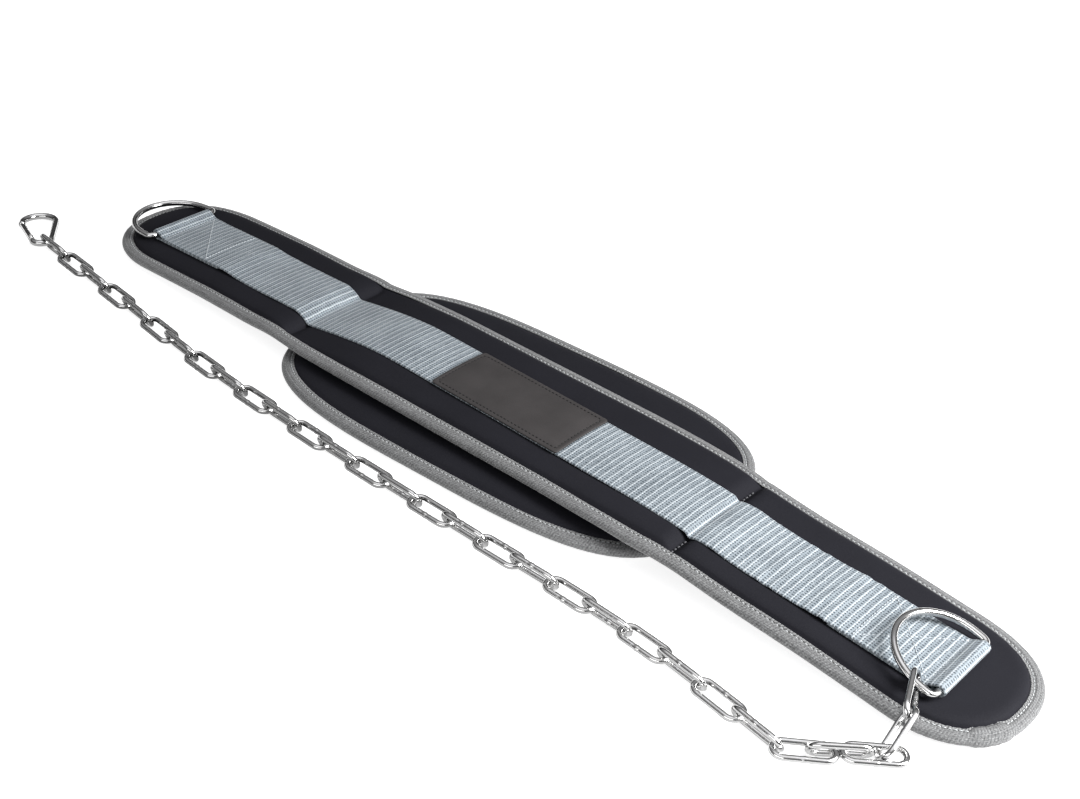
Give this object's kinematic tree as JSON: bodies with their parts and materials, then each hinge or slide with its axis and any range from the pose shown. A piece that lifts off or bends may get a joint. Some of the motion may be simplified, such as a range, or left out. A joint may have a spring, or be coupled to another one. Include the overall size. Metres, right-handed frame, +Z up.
{
  "type": "dip belt",
  "caption": "Padded dip belt lying open: bound foam waist pad over a wider back pad, webbing strap with D-rings, and a link chain with a snap hook.",
  "frame": {"origin": "on the underside of the back pad, below the middle of the belt, where the part lies on the floor", "axes": "+X along the belt from the snap hook's end to the chain's ring, +Y away from the chain, +Z up out of the belt's outer face"},
  "size_m": [0.8144, 0.2257, 0.0276],
  "materials": {
    "neoprene": "smooth neoprene-covered foam",
    "binding": "knitted edge tape",
    "webbing": "ribbed woven webbing",
    "label_patch": "smooth leatherette, stitched",
    "steel": "bright plated"
  },
  "bodies": {
    "belt": {"back_pad": "neoprene", "belt_pad": "neoprene", "back_binding": "binding", "belt_binding": "binding", "strap": "webbing", "label_patch": "label_patch", "ring_right": "steel", "hook_body": "steel", "hook_pin": "steel", "link_01": "steel", "link_02": "steel", "link_03": "steel", "link_04": "steel", "link_05": "steel", "link_06": "steel", "link_07": "steel", "link_08": "steel", "link_09": "steel", "link_10": "steel", "link_11": "steel", "link_12": "steel", "link_13": "steel", "link_14": "steel", "link_15": "steel", "link_16": "steel", "link_17": "steel", "link_18": "steel", "link_19": "steel", "link_20": "steel", "link_21": "steel", "link_22": "steel", "link_23": "steel", "link_24": "steel", "link_25": "steel", "link_26": "steel", "link_27": "steel", "link_28": "steel", "link_29": "steel", "link_30": "steel"},
    "ring_left": {"ring_left": "steel"},
    "hook_gate": {"hook_gate": "steel"}
  },
  "joints": [
    {"name": "ring_left_swing", "type": "hinge", "parent": "belt", "child": "ring_left", "pos_m": [-0.334, 0, 0.01517], "axis": [0, 1, 0], "range_deg": [0, 165]},
    {"name": "hook_gate_swing", "type": "hinge", "parent": "belt", "child": "hook_gate", "pos_m": [-0.40193, -0.08805, 0.00655], "axis": [0.082, -0.049, -0.9954], "range_deg": [0, 25], "stiffness_Nm_per_rad": 0.02, "springref_deg": -5.73}
  ]
}
